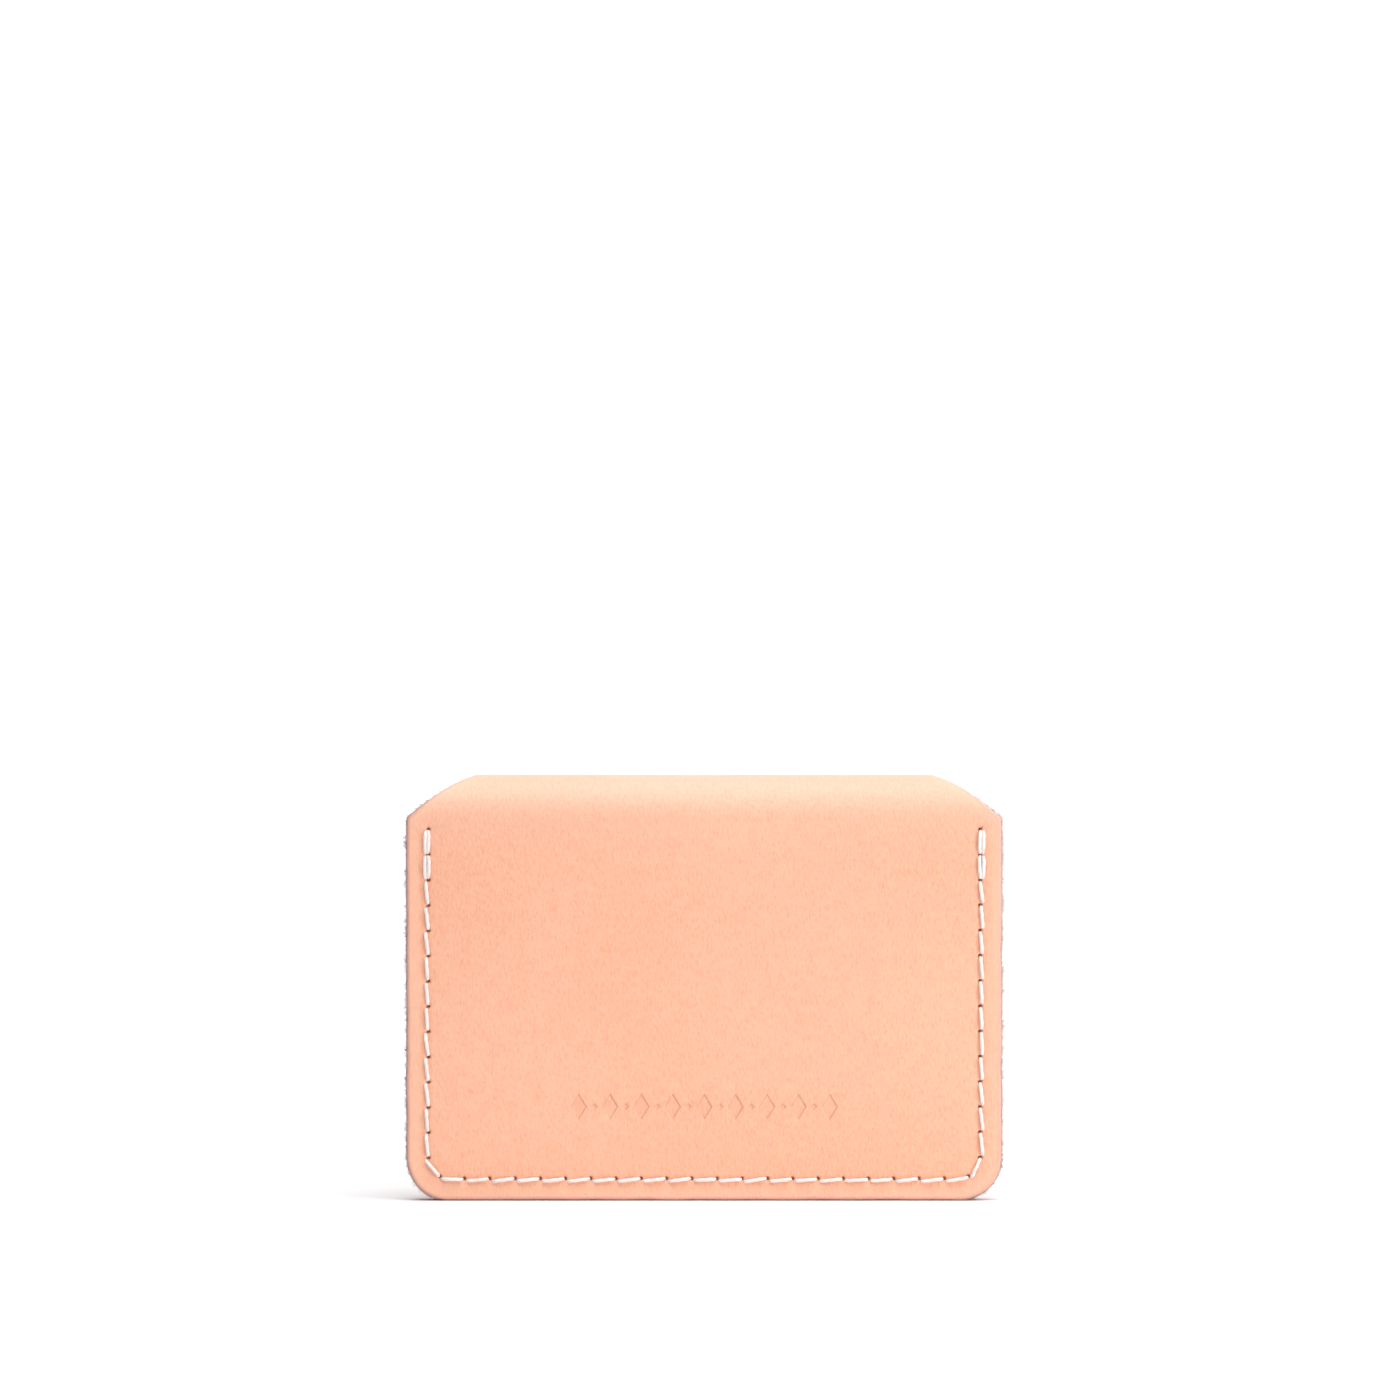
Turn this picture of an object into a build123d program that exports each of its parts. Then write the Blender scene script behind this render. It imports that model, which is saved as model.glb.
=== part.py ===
from build123d import *
from itertools import pairwise
import os

# A card holder with a snap flap. One piece of leather makes the back, rolls over the top and comes
# down in front as the flap. A divider and a front panel are sewn to the back along both sides and
# the bottom with a lockstitch, which leaves a main pocket and a slip pocket. A snap holds the flap.
#
# Frame, in millimetres: X runs across the holder, Y from the plain back towards the flap, Z up.
# The origin is the middle of the back panel's bottom edge, so the back panel lies around y = 0.
# The fold is leather that bends. It is divided into sectors that hinge on the leather's outer face.

# Leather and overall size
leather = 1.8
holder_width = 106.8
holder_height = 76.2
corner_radius = 7.6
main_pocket_gap = 4.2
slip_pocket_gap = 0.9
snap_stack = 2.8

# Outline of the one-piece body
shoulder_height = 68.8
shoulder_radius = 1.5
shoulder_bend_height = 73.8
shoulder_bend_width = 94.0
neck_width = 83.2
flap_tip_height = 31.0
flap_tip_width = 77.0
flap_tip_radius = 11.0

# Sewn panels
panel_height = 68.5
panel_top_radius = 1.5
divider_scoop_depth = 4.5
front_scoop_depth = 10.0
scoop_width = 66.0
pocket_seam_clearance = 0.9
pocket_floor_half_width = 43.3
pocket_floor_bottom = 10.4
pocket_floor_radius = 1.0
front_floor_inset = 1.0

# Stitching
stitch_inset = 3.7
stitch_count = 49
stitch_top = 66.6
needle_hole_radius = 0.7
thread_radius = 0.3
thread_leg_offset = 0.36
thread_bend_radius = 0.35
thread_leg_gap = 0.1

# Snap fastener: radii about its axis, and depths from the leather face each part sits on
snap_height = 41.5
sheet_metal = 0.4
barrel_clearance = 0.05
cap_radius = 6.2
cap_rim = 0.5
cap_dome_height = 1.5
cap_barrel_radius = 1.8
cap_bore_radius = 1.2
clinch_radius = 2.3
socket_flange_radius = 5.3
socket_shoulder_radius = 4.4
socket_depth = 2.2
socket_lip_radius = 4.1
socket_mouth_radius = 2.9
socket_groove_radius = 3.5
socket_lip = 0.3
spring_wire_radius = 0.25
spring_depth = 1.6
spring_arm_offset = 2.3
spring_half_length = 3.05
spring_corner_radius = 1.9
spring_gap = 0.5
stud_flange_radius = 5.0
stud_height = 1.85
stud_neck_radius = 2.0
stud_neck_height = 1.5
stud_ball_radius = 2.25
stud_ball_height = 0.1
stud_top_radius = 1.95
stud_recess_radius = 1.75
stud_recess = 0.35
eyelet_flange_radius = 4.8
eyelet_flange = 0.5
eyelet_barrel_radius = 1.3
eyelet_bore_radius = 0.8
eyelet_roll_radius = 1.7
eyelet_roll = 0.3

# Hinges of the fold, as angles over the fold from the back panel
first_hinge_angle = 30
top_hinge_angle = 90
last_hinge_angle = 150

# Planes and centres that follow from the sizes above
half_width = holder_width / 2
back_outer = -leather / 2
back_inner = back_outer + leather
divider_outer = back_inner + leather
margin_face = divider_outer + leather
front_face = margin_face + main_pocket_gap + slip_pocket_gap
flap_inner = front_face + snap_stack
flap_outer = flap_inner + leather
fold_radius = (flap_outer - back_outer) / 2
fold_y = (flap_outer + back_outer) / 2
fold_z = holder_height - fold_radius
row_half_width = half_width - stitch_inset
front_rise = main_pocket_gap + slip_pocket_gap
leg_depth = (margin_face - back_outer - thread_leg_gap) / 2
snap_axis = Axis((0, 0, snap_height), (0, 1, 0))
through = holder_width


def upright(y):
    """The upright plane at depth y, whose own axes are the holder's X and Z."""
    return Plane.XZ.offset(-y)


def fold_sector(start, end):
    """The fold's cross-section between two angles, counted over the fold from the back panel."""
    with BuildSketch(Plane.YZ) as section:
        with BuildLine():
            outer = CenterArc((fold_y, fold_z), fold_radius, 180 - end, end - start)
            inner = CenterArc((fold_y, fold_z), fold_radius - leather, 180 - end, end - start)
            Line(outer @ 0, inner @ 0)
            Line(outer @ 1, inner @ 1)
        make_face()
    return section.sketch


def sheet_section(y, bottom):
    """The cross-section of the upright sheet that starts at depth y and runs up to the fold."""
    with BuildSketch(Plane.YZ) as section:
        with Locations((y, bottom)):
            Rectangle(leather, fold_z - bottom, align=Align.MIN)
    return section.sketch


def panel_outline(scoop_depth):
    """A sewn panel seen from the back, with a shallow scoop in its top edge to reach the cards."""
    scoop_radius = (scoop_width**2 / 4 + scoop_depth**2) / (2 * scoop_depth)
    with BuildSketch(Plane.XZ) as outline:
        Rectangle(holder_width, panel_height, align=(Align.CENTER, Align.MIN))
        fillet(outline.vertices().group_by(Axis.Y)[0], corner_radius)
        fillet(outline.vertices().group_by(Axis.Y)[-1], panel_top_radius)
        with Locations((0, panel_height + scoop_radius - scoop_depth)):
            Circle(scoop_radius, mode=Mode.SUBTRACT)
    return outline.sketch


def pocket_face(y, half, bottom, radius):
    """One level of a pocket's hollow at depth y: open past the top, with rounded bottom corners."""
    with BuildSketch(upright(y)) as face:
        with Locations((0, bottom)):
            Rectangle(2 * half, holder_height - bottom, align=(Align.CENTER, Align.MIN))
        fillet(face.vertices().group_by(Axis.Y)[0], radius)
    return face.sketch


def pocket_levels(y, rise, floor_inset):
    """The two levels that a panel's swell is lofted between: the seam line and the pocket's floor."""
    seam = stitch_inset + pocket_seam_clearance
    return [
        pocket_face(y, half_width - seam, seam, corner_radius - seam),
        pocket_face(
            y + rise,
            pocket_floor_half_width - floor_inset,
            pocket_floor_bottom + floor_inset,
            pocket_floor_radius,
        ),
    ]


def snap_place(y):
    """The upright plane at depth y, centred on the snap, which faces the plain back."""
    return Plane((0, y, snap_height), x_dir=(1, 0, 0), z_dir=(0, -1, 0))


def turned_section(corners):
    """The section of a piece turned about the snap's axis, from its (depth, radius) corners."""
    with BuildSketch(Plane.YZ) as section:
        with BuildLine():
            Polyline([(y, snap_height + r) for y, r in corners], close=True)
        make_face()
    return section.sketch


def stitch_paths(y, outward):
    """The stitches' centre lines on the leather's face at depth y, with a leg down each needle hole."""
    for first, last in pairwise(needle_points):
        middle = (first + last) / 2
        along = last - first
        reach = along.length / 2 - thread_leg_offset
        place = Plane(
            (middle.X, y, middle.Z),
            x_dir=along,
            z_dir=along.cross(Vector(0, outward, 0)),
        )
        with BuildLine(place) as path:
            FilletPolyline(
                (-reach, -leg_depth),
                (-reach, thread_radius),
                (reach, thread_radius),
                (reach, -leg_depth),
                radius=thread_bend_radius,
            )
        yield path.line


def thread_section(path):
    """The thread's cross-section at the start of a stitch's centre line."""
    with BuildSketch(path ^ 0) as section:
        Circle(thread_radius)
    return section.sketch


# The seam: down one side, along the bottom and up the other side.
with BuildLine(Plane.XZ) as seam_line:
    FilletPolyline(
        (-row_half_width, stitch_top),
        (-row_half_width, stitch_inset),
        (row_half_width, stitch_inset),
        (row_half_width, stitch_top),
        radius=corner_radius - stitch_inset,
    )
seam_wire = seam_line.wires()[0]
needle_points = [seam_wire @ (i / stitch_count) for i in range(stitch_count + 1)]

with BuildSketch(Plane.XZ) as needle_holes:
    with Locations(*[(point.X, point.Z) for point in needle_points]):
        Circle(needle_hole_radius)

# The body's outline seen from the back, where the shoulders narrow to the neck of the flap
with BuildSketch(Plane.XZ) as back_outline:
    with BuildLine():
        Polyline(
            (half_width, 0),
            (half_width, shoulder_height),
            (shoulder_bend_width / 2, shoulder_bend_height),
            (neck_width / 2, holder_height),
            (-neck_width / 2, holder_height),
            (-shoulder_bend_width / 2, shoulder_bend_height),
            (-half_width, shoulder_height),
            (-half_width, 0),
            close=True,
        )
    make_face()
    fillet(back_outline.vertices().group_by(Axis.Y)[0], corner_radius)
    fillet(back_outline.vertices().group_by(Axis.X)[0].sort_by(Axis.Y)[-1], shoulder_radius)
    fillet(back_outline.vertices().group_by(Axis.X)[-1].sort_by(Axis.Y)[-1], shoulder_radius)

with BuildSketch(Plane.XZ) as flap_outline:
    with BuildLine():
        Polyline(
            (neck_width / 2, holder_height),
            (flap_tip_width / 2, flap_tip_height),
            (-flap_tip_width / 2, flap_tip_height),
            (-neck_width / 2, holder_height),
            close=True,
        )
    make_face()
    fillet(flap_outline.vertices().group_by(Axis.Y)[0], flap_tip_radius)

# The one-piece body, divided at the fold's hinges
with BuildPart() as back_panel:
    extrude(sheet_section(back_outer, 0), amount=half_width, both=True)
    extrude(fold_sector(0, first_hinge_angle), amount=half_width, both=True)
    extrude(back_outline.sketch, amount=through, both=True, mode=Mode.INTERSECT)
    extrude(needle_holes.sketch, amount=through, both=True, mode=Mode.SUBTRACT)

with BuildPart() as fold_rear:
    extrude(fold_sector(first_hinge_angle, top_hinge_angle), amount=half_width, both=True)
    extrude(back_outline.sketch, amount=through, both=True, mode=Mode.INTERSECT)

with BuildPart() as fold_front:
    extrude(fold_sector(top_hinge_angle, last_hinge_angle), amount=half_width, both=True)
    extrude(flap_outline.sketch, amount=through, both=True, mode=Mode.INTERSECT)

with BuildPart() as flap:
    extrude(fold_sector(last_hinge_angle, 180), amount=half_width, both=True)
    extrude(sheet_section(flap_inner, flap_tip_height), amount=half_width, both=True)
    extrude(flap_outline.sketch, amount=through, both=True, mode=Mode.INTERSECT)
    with Locations(snap_place(flap_inner)):
        Hole(cap_barrel_radius + barrel_clearance, depth=leather)

# The sewn panels: flat along the seam, raised over their pockets
with BuildPart() as divider_panel:
    extrude(pocket_face(back_inner, half_width, 0, corner_radius), amount=-leather)
    loft(pocket_levels(divider_outer, main_pocket_gap, 0))
    loft(pocket_levels(back_inner, main_pocket_gap, 0), mode=Mode.SUBTRACT)
    extrude(panel_outline(divider_scoop_depth), amount=through, both=True, mode=Mode.INTERSECT)
    extrude(needle_holes.sketch, amount=through, both=True, mode=Mode.SUBTRACT)

with BuildPart() as front_panel:
    extrude(pocket_face(divider_outer, half_width, 0, corner_radius), amount=-leather)
    loft(pocket_levels(margin_face, front_rise, front_floor_inset))
    loft(pocket_levels(divider_outer, front_rise, front_floor_inset), mode=Mode.SUBTRACT)
    extrude(panel_outline(front_scoop_depth), amount=through, both=True, mode=Mode.INTERSECT)
    extrude(needle_holes.sketch, amount=through, both=True, mode=Mode.SUBTRACT)
    with Locations(snap_place(front_face - leather)):
        Hole(eyelet_barrel_radius + barrel_clearance, depth=leather)

# Lockstitch: one thread on the back face and one on the front, meeting halfway down each hole
with BuildPart() as bobbin_thread:
    for path in stitch_paths(back_outer, -1):
        sweep(thread_section(path), path=path)

with BuildPart() as needle_thread:
    for path in stitch_paths(margin_face, 1):
        sweep(thread_section(path), path=path)

# The snap's upper half: the cap's barrel passes through the flap and is clinched in the socket
dome_base = flap_outer + cap_rim
clinch_plane = flap_inner - sheet_metal
with BuildPart() as snap_cap:
    with BuildSketch(Plane.YZ):
        with BuildLine():
            dome_center = (dome_base, snap_height)
            for sheet in (0, sheet_metal):
                EllipticalCenterArc(
                    dome_center,
                    cap_dome_height - sheet,
                    cap_radius - sheet,
                    arc_size=90,
                )
            Line(
                (dome_base + cap_dome_height, snap_height),
                (dome_base + cap_dome_height - sheet_metal, snap_height),
            )
            Polyline(
                (dome_base, snap_height + cap_radius - sheet_metal),
                (dome_base, snap_height + cap_bore_radius),
                (clinch_plane - sheet_metal, snap_height + cap_bore_radius),
                (clinch_plane - sheet_metal, snap_height + clinch_radius),
                (clinch_plane, snap_height + clinch_radius),
                (clinch_plane, snap_height + cap_barrel_radius),
                (flap_outer, snap_height + cap_barrel_radius),
                (flap_outer, snap_height + cap_radius),
                (dome_base, snap_height + cap_radius),
            )
        make_face()
    revolve(axis=snap_axis)

socket_mouth = flap_inner - socket_depth
with BuildPart() as snap_socket:
    revolve(
        turned_section(
            [
                (flap_inner, cap_barrel_radius + barrel_clearance),
                (flap_inner, socket_flange_radius),
                (clinch_plane, socket_flange_radius),
                (clinch_plane, socket_shoulder_radius),
                (socket_mouth, socket_lip_radius),
                (socket_mouth, socket_mouth_radius),
                (socket_mouth + socket_lip, socket_mouth_radius),
                (socket_mouth + socket_lip, socket_groove_radius),
                (clinch_plane, socket_groove_radius),
                (clinch_plane, cap_barrel_radius + barrel_clearance),
            ]
        ),
        axis=snap_axis,
    )

# A bent wire whose two straight arms grip the stud's neck
with BuildPart() as socket_spring:
    with BuildLine(snap_place(flap_inner - spring_depth)) as spring_line:
        FilletPolyline(
            (spring_gap / 2, -spring_half_length),
            (spring_arm_offset, -spring_half_length),
            (spring_arm_offset, spring_half_length),
            (-spring_arm_offset, spring_half_length),
            (-spring_arm_offset, -spring_half_length),
            (-spring_gap / 2, -spring_half_length),
            radius=spring_corner_radius,
        )
    with BuildSketch(spring_line.line ^ 0):
        Circle(spring_wire_radius)
    sweep()

# The snap's lower half: the eyelet passes through the front panel and is rolled over in the stud
stud_top = front_face + stud_height
with BuildPart() as snap_stud:
    revolve(
        turned_section(
            [
                (front_face, eyelet_barrel_radius + barrel_clearance),
                (front_face, stud_flange_radius),
                (front_face + sheet_metal, stud_flange_radius),
                (front_face + sheet_metal, stud_neck_radius),
                (front_face + stud_neck_height, stud_neck_radius),
                (front_face + stud_neck_height + stud_ball_height, stud_ball_radius),
                (stud_top - stud_ball_height, stud_ball_radius),
                (stud_top, stud_top_radius),
                (stud_top, stud_recess_radius),
                (stud_top - stud_recess, stud_recess_radius),
                (stud_top - stud_recess, eyelet_barrel_radius + barrel_clearance),
            ]
        ),
        axis=snap_axis,
    )

eyelet_seat = front_face - leather
roll_plane = stud_top - stud_recess
with BuildPart() as snap_eyelet:
    revolve(
        turned_section(
            [
                (eyelet_seat - eyelet_flange, eyelet_bore_radius),
                (eyelet_seat - eyelet_flange, eyelet_flange_radius),
                (eyelet_seat, eyelet_flange_radius),
                (eyelet_seat, eyelet_barrel_radius),
                (roll_plane, eyelet_barrel_radius),
                (roll_plane, eyelet_roll_radius),
                (roll_plane + eyelet_roll, eyelet_roll_radius),
                (roll_plane + eyelet_roll, eyelet_bore_radius),
            ]
        ),
        axis=snap_axis,
    )

pieces = {
    "back_panel": back_panel,
    "fold_rear": fold_rear,
    "fold_front": fold_front,
    "flap": flap,
    "divider_panel": divider_panel,
    "front_panel": front_panel,
    "bobbin_thread": bobbin_thread,
    "needle_thread": needle_thread,
    "snap_cap": snap_cap,
    "snap_socket": snap_socket,
    "socket_spring": socket_spring,
    "snap_stud": snap_stud,
    "snap_eyelet": snap_eyelet,
}
os.makedirs("parts", exist_ok=True)
for name, piece in pieces.items():
    piece.part.label = name
    export_step(piece.part, f"parts/{name}.step")
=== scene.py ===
import math

import bmesh
import bpy
import numpy as np
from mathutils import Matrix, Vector
from mathutils.geometry import delaunay_2d_cdt
from mathutils.kdtree import KDTree


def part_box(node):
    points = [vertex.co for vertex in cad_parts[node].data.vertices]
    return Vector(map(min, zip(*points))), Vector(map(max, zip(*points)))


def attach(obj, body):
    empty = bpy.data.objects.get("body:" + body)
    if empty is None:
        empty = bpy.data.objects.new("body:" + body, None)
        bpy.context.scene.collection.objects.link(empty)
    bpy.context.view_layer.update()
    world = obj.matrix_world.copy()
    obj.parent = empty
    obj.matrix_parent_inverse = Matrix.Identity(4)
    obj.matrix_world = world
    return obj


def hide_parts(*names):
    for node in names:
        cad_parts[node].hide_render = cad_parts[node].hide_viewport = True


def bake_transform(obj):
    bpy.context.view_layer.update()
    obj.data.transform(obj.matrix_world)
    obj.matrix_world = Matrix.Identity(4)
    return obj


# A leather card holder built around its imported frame. Lengths are in metres.
#
# The body is one flat sheet of leather. A point of it is (u, v): u runs across the holder and v runs
# up the back, over the fold and down the flap. Depth runs from the grain face into the leather.

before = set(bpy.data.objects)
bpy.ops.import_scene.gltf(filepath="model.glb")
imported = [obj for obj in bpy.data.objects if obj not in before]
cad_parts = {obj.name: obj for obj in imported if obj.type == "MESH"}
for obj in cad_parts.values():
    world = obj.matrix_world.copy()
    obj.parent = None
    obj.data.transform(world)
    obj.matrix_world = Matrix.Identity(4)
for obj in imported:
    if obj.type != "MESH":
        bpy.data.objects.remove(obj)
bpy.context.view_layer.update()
MM = 0.001

# ---- sizes from the frame

back_low, back_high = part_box("back_panel")
divider_low, divider_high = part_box("divider_panel")
front_low, front_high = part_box("front_panel")
fold_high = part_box("fold_rear")[1]
neck_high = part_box("fold_front")[1]
flap_low, flap_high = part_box("flap")
cap_low, cap_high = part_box("snap_cap")
socket_low, socket_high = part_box("snap_socket")
stud_low, stud_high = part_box("snap_stud")
eyelet_low, eyelet_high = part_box("snap_eyelet")

leather = divider_low.y - back_low.y
half_width = back_high.x
holder_height = fold_high.z
back_face = back_low.y
flap_face = flap_high.y
front_face = front_high.y
margin_face = front_low.y + leather
panel_height = front_high.z
fold_radius = (flap_face - back_face) / 2
fold_y = (flap_face + back_face) / 2
fold_z = holder_height - fold_radius
flap_start = fold_z + math.pi * fold_radius
flap_end = flap_start + fold_z - flap_low.z
neck_half_width = neck_high.x
snap_z = (cap_low.z + cap_high.z) / 2
cap_radius = (cap_high.x - cap_low.x) / 2
socket_radius = (socket_high.x - socket_low.x) / 2
stud_radius = (stud_high.x - stud_low.x) / 2
eyelet_radius = (eyelet_high.x - eyelet_low.x) / 2

# ---- sizes that the frame doesn't state

corner_radius = 7.6 * MM
shoulder_height = 68.7 * MM
shoulder_slope = 0.9
shoulder_radius = 1.5 * MM
neck_radius = 4.0 * MM
flap_tip_half_width = 38.5 * MM
flap_tip_radius = 11.0 * MM

panel_top_radius = 1.5 * MM
divider_scoop = 4.5 * MM
front_scoop = 10.0 * MM
scoop_half_width = 33.0 * MM
scoop_shoulder = 2 * MM
pocket_seam = 4.6 * MM
side_ramp = 5.5 * MM
bottom_ramp = 5.8 * MM
back_bow = 0.6 * MM
back_bow_side = 20 * MM
back_bow_end = 17 * MM

stitch_inset = 3.7 * MM
stitch_top = 66.6 * MM
stitch_count = 49
stitch_slant = 0.2 * MM
start_tuck = 0.42 * MM
end_tuck = 0.25 * MM
needle_offset = 0.3 * MM
needle_radius = 0.37 * MM
backtacked = 2
backtack_side = 0.22 * MM
backtack_bow = 0.12 * MM
thread_radius = 0.3 * MM
thread_sink = 0.95 * MM
thread_twist = 1.6 * MM
strand_rings = 30
strand_sides = 15

grain_roll = 0.55 * MM
grain_inset = 0.2 * MM
flesh_roll = 0.3 * MM
outline_wander = 0.05 * MM
fray = 0.08 * MM
fibre_length = 0.22 * MM
longest_fibre = 0.75 * MM
fibre_spacing = 0.11 * MM
fibre_radius = 0.042 * MM

outline_step = 0.42 * MM
grid_step = 1.15 * MM
border_gap = 0.45 * MM
detail_gap = 0.42 * MM
fold_rows = 54
same_place = 1e-7


# ---- flat shapes


def rounded(corners, closed=True):
    """A polyline through (u, v, radius) corners, with an arc at each corner that has a radius."""
    points = []
    count = len(corners)
    for i, (u, v, radius) in enumerate(corners):
        corner = np.array([u, v])
        if radius == 0 or (not closed and i in (0, count - 1)):
            points.append(corner)
            continue
        before = np.array(corners[i - 1][:2]) - corner
        after = np.array(corners[(i + 1) % count][:2]) - corner
        before /= np.linalg.norm(before)
        after /= np.linalg.norm(after)
        half_angle = math.acos(np.clip(before @ after, -1, 1)) / 2
        bisector = (before + after) / np.linalg.norm(before + after)
        centre = corner + bisector * radius / math.sin(half_angle)
        start = corner + before * radius / math.tan(half_angle) - centre
        end = corner + after * radius / math.tan(half_angle) - centre
        sweep = math.atan2(start[0] * end[1] - start[1] * end[0], start @ end)
        for angle in np.linspace(0, sweep, 16):
            turn = np.array([[math.cos(angle), -math.sin(angle)], [math.sin(angle), math.cos(angle)]])
            points.append(centre + turn @ start)
    return np.array(points)


def lengths_along(points):
    """The distance along a polyline at which each of its points lies."""
    return np.concatenate([[0], np.cumsum(np.linalg.norm(np.diff(points, axis=0), axis=1))])


def resampled(points, step, closed=True):
    """The same polyline with evenly spaced points."""
    if closed:
        points = np.vstack([points, points[:1]])
    lengths = lengths_along(points)
    count = max(3, round(lengths[-1] / step))
    places = np.linspace(0, lengths[-1], count, endpoint=not closed)
    return np.column_stack([np.interp(places, lengths, points[:, k]) for k in range(2)])


def outward_normals(ring):
    """Unit normals of a counter-clockwise closed polyline, pointing out of it."""
    along = np.roll(ring, -1, axis=0) - np.roll(ring, 1, axis=0)
    along /= np.linalg.norm(along, axis=1)[:, None]
    return np.column_stack([along[:, 1], -along[:, 0]])


def inside(points, ring):
    """Which points lie inside a closed polyline."""
    result = np.zeros(len(points), bool)
    following = np.roll(ring, -1, axis=0)
    for (u0, v0), (u1, v1) in zip(ring, following):
        crosses = (points[:, 1] < v0) != (points[:, 1] < v1)
        if v0 != v1:
            at = u0 + (points[:, 1] - v0) * (u1 - u0) / (v1 - v0)
            result ^= crosses & (points[:, 0] < at)
    return result


def distance_to_points(points, others):
    """Each point's distance to the nearest of the others."""
    tree = KDTree(len(others))
    for i, (u, v) in enumerate(others):
        tree.insert((u, v, 0), i)
    tree.balance()
    return np.array([tree.find((u, v, 0))[2] for u, v in points])


def distance_to_runs(points, starts, runs):
    """Each point's distance to the nearest of some straight runs."""
    offset = points[:, None] - starts[None]
    share = np.clip((offset * runs).sum(axis=2) / (runs**2).sum(axis=1), 0, 1)
    return np.linalg.norm(offset - share[..., None] * runs, axis=2).min(axis=1)


def smooth(x, low, high):
    """0 below low and 1 above high, with a smooth step between."""
    t = np.clip((x - low) / (high - low), 0, 1)
    return t * t * (3 - 2 * t)


def bell(x, width):
    """1 at 0, falling off smoothly to either side."""
    return np.exp(-((x / width) ** 2))


def body_outline():
    """The flat outline of the back, the shoulders, the neck over the fold, and the flap."""
    neck_start = shoulder_height + (half_width - neck_half_width) * shoulder_slope
    right_half = [
        (half_width, 0, corner_radius),
        (half_width, shoulder_height, shoulder_radius),
        (neck_half_width, neck_start, neck_radius),
        (flap_tip_half_width, flap_end, flap_tip_radius),
    ]
    left_half = [(-u, v, radius) for u, v, radius in reversed(right_half)]
    return rounded(right_half + left_half)


def panel_outline(scoop):
    """A sewn panel's outline, with a shallow arc cut from its top edge."""
    radius = (scoop_half_width**2 + scoop**2) / (2 * scoop)
    reach = math.asin(scoop_half_width / radius)
    arc = [
        (radius * math.sin(a), panel_height + radius - scoop - radius * math.cos(a), 0)
        for a in np.linspace(reach, -reach, 25)
    ]
    return rounded(
        [
            (half_width, 0, corner_radius),
            (half_width, panel_height, panel_top_radius),
            (scoop_half_width + scoop_shoulder, panel_height, 0),
            *arc,
            (-scoop_half_width - scoop_shoulder, panel_height, 0),
            (-half_width, panel_height, panel_top_radius),
            (-half_width, 0, corner_radius),
        ]
    )


# ---- the stitch row

row_line = rounded(
    [
        (-half_width + stitch_inset, stitch_top, 0),
        (-half_width + stitch_inset, stitch_inset, corner_radius - stitch_inset),
        (half_width - stitch_inset, stitch_inset, corner_radius - stitch_inset),
        (half_width - stitch_inset, stitch_top, 0),
    ],
    closed=False,
)
row_lengths = lengths_along(row_line)


def row_place(distance):
    """The row's points, directions and inward normals at these distances along it."""
    sample = 0.4 * MM
    at, ahead, behind = (
        np.column_stack([np.interp(distance + shift, row_lengths, row_line[:, k]) for k in range(2)])
        for shift in (0, sample, -sample)
    )
    along = ahead - behind
    along /= np.linalg.norm(along, axis=1)[:, None]
    return at, along, np.column_stack([-along[:, 1], along[:, 0]])


hole_places = np.linspace(0, row_lengths[-1], stitch_count + 1)
holes, hole_along, hole_inward = row_place(hole_places)
stitch_starts = holes[:-1] - hole_inward[:-1] * stitch_slant + hole_along[:-1] * start_tuck
stitch_ends = holes[1:] + hole_inward[1:] * stitch_slant - hole_along[1:] * end_tuck
needle_marks = holes + hole_inward * needle_offset
crease_runs = holes + hole_along * start_tuck - hole_inward * stitch_slant - needle_marks

stitch_reach = 4.5 * MM
groove_depth = 0.13 * MM
groove_width = 0.45 * MM
valley_depth = 0.15 * MM
valley_width = 2.0 * MM
crease_depth = 0.12 * MM
crease_width = 0.13 * MM
# strength of the painted shade in the crease by each needle hole
crease_shade = 0.7
needle_depth = 0.45 * MM


def stitch_marks(points):
    """How deep the thread has pulled the grain down at each point, and how dark it is: painted shade in
    each needle hole and in the crease that runs from it.
    """
    depth = np.zeros(len(points))
    dark = np.zeros(len(points))
    along_row = distance_to_points(points, resampled(row_line, 1.0 * MM, False))
    near = np.flatnonzero(along_row < stitch_reach)
    chosen = points[near]
    gap = distance_to_runs(chosen, stitch_starts, stitch_ends - stitch_starts)
    crease = distance_to_runs(chosen, needle_marks, crease_runs)
    hole = distance_to_points(chosen, needle_marks) / needle_radius
    depth[near] = groove_depth * bell(gap, groove_width)
    depth[near] += valley_depth * bell(gap, valley_width)
    depth[near] += crease_depth * bell(crease, crease_width)
    depth[near] += needle_depth * np.exp(-(hole**3))
    # painted shade: dark in each needle hole and along its crease
    dark[near] = np.maximum(np.exp(-((hole / 0.95) ** 4)), crease_shade * bell(crease, crease_width))
    return depth, dark


# ---- other marks in the grain

snap_v = flap_start + fold_z - snap_z
snap_reach = 3 * MM
snap_dip = 0.14 * MM
hide_wave = 17 * MM
hide_wave_height = 0.018 * MM
hide_wave_count = 9


def press_ring_points(v, radius):
    """Mesh points on rings round the snap, where the leather dips towards it."""
    points = []
    for grow in (-0.5, 0.05, 0.45, 0.95, 1.6, 2.4):
        ring = radius + grow * MM
        angles = np.linspace(0, 2 * math.pi, round(2 * math.pi * ring / (0.7 * MM)), endpoint=False)
        points.append(np.column_stack([ring * np.sin(angles), v + ring * np.cos(angles)]))
    return np.vstack(points)


def pressed_round(v, radius):
    """A mark for leather that is squeezed under a round flange and dips towards its rim."""

    def press(points):
        away = np.hypot(points[:, 0], points[:, 1] - v) - radius
        return snap_dip * (1 - smooth(away, -0.2 * MM, snap_reach)), np.zeros(len(points))

    return press


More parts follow.
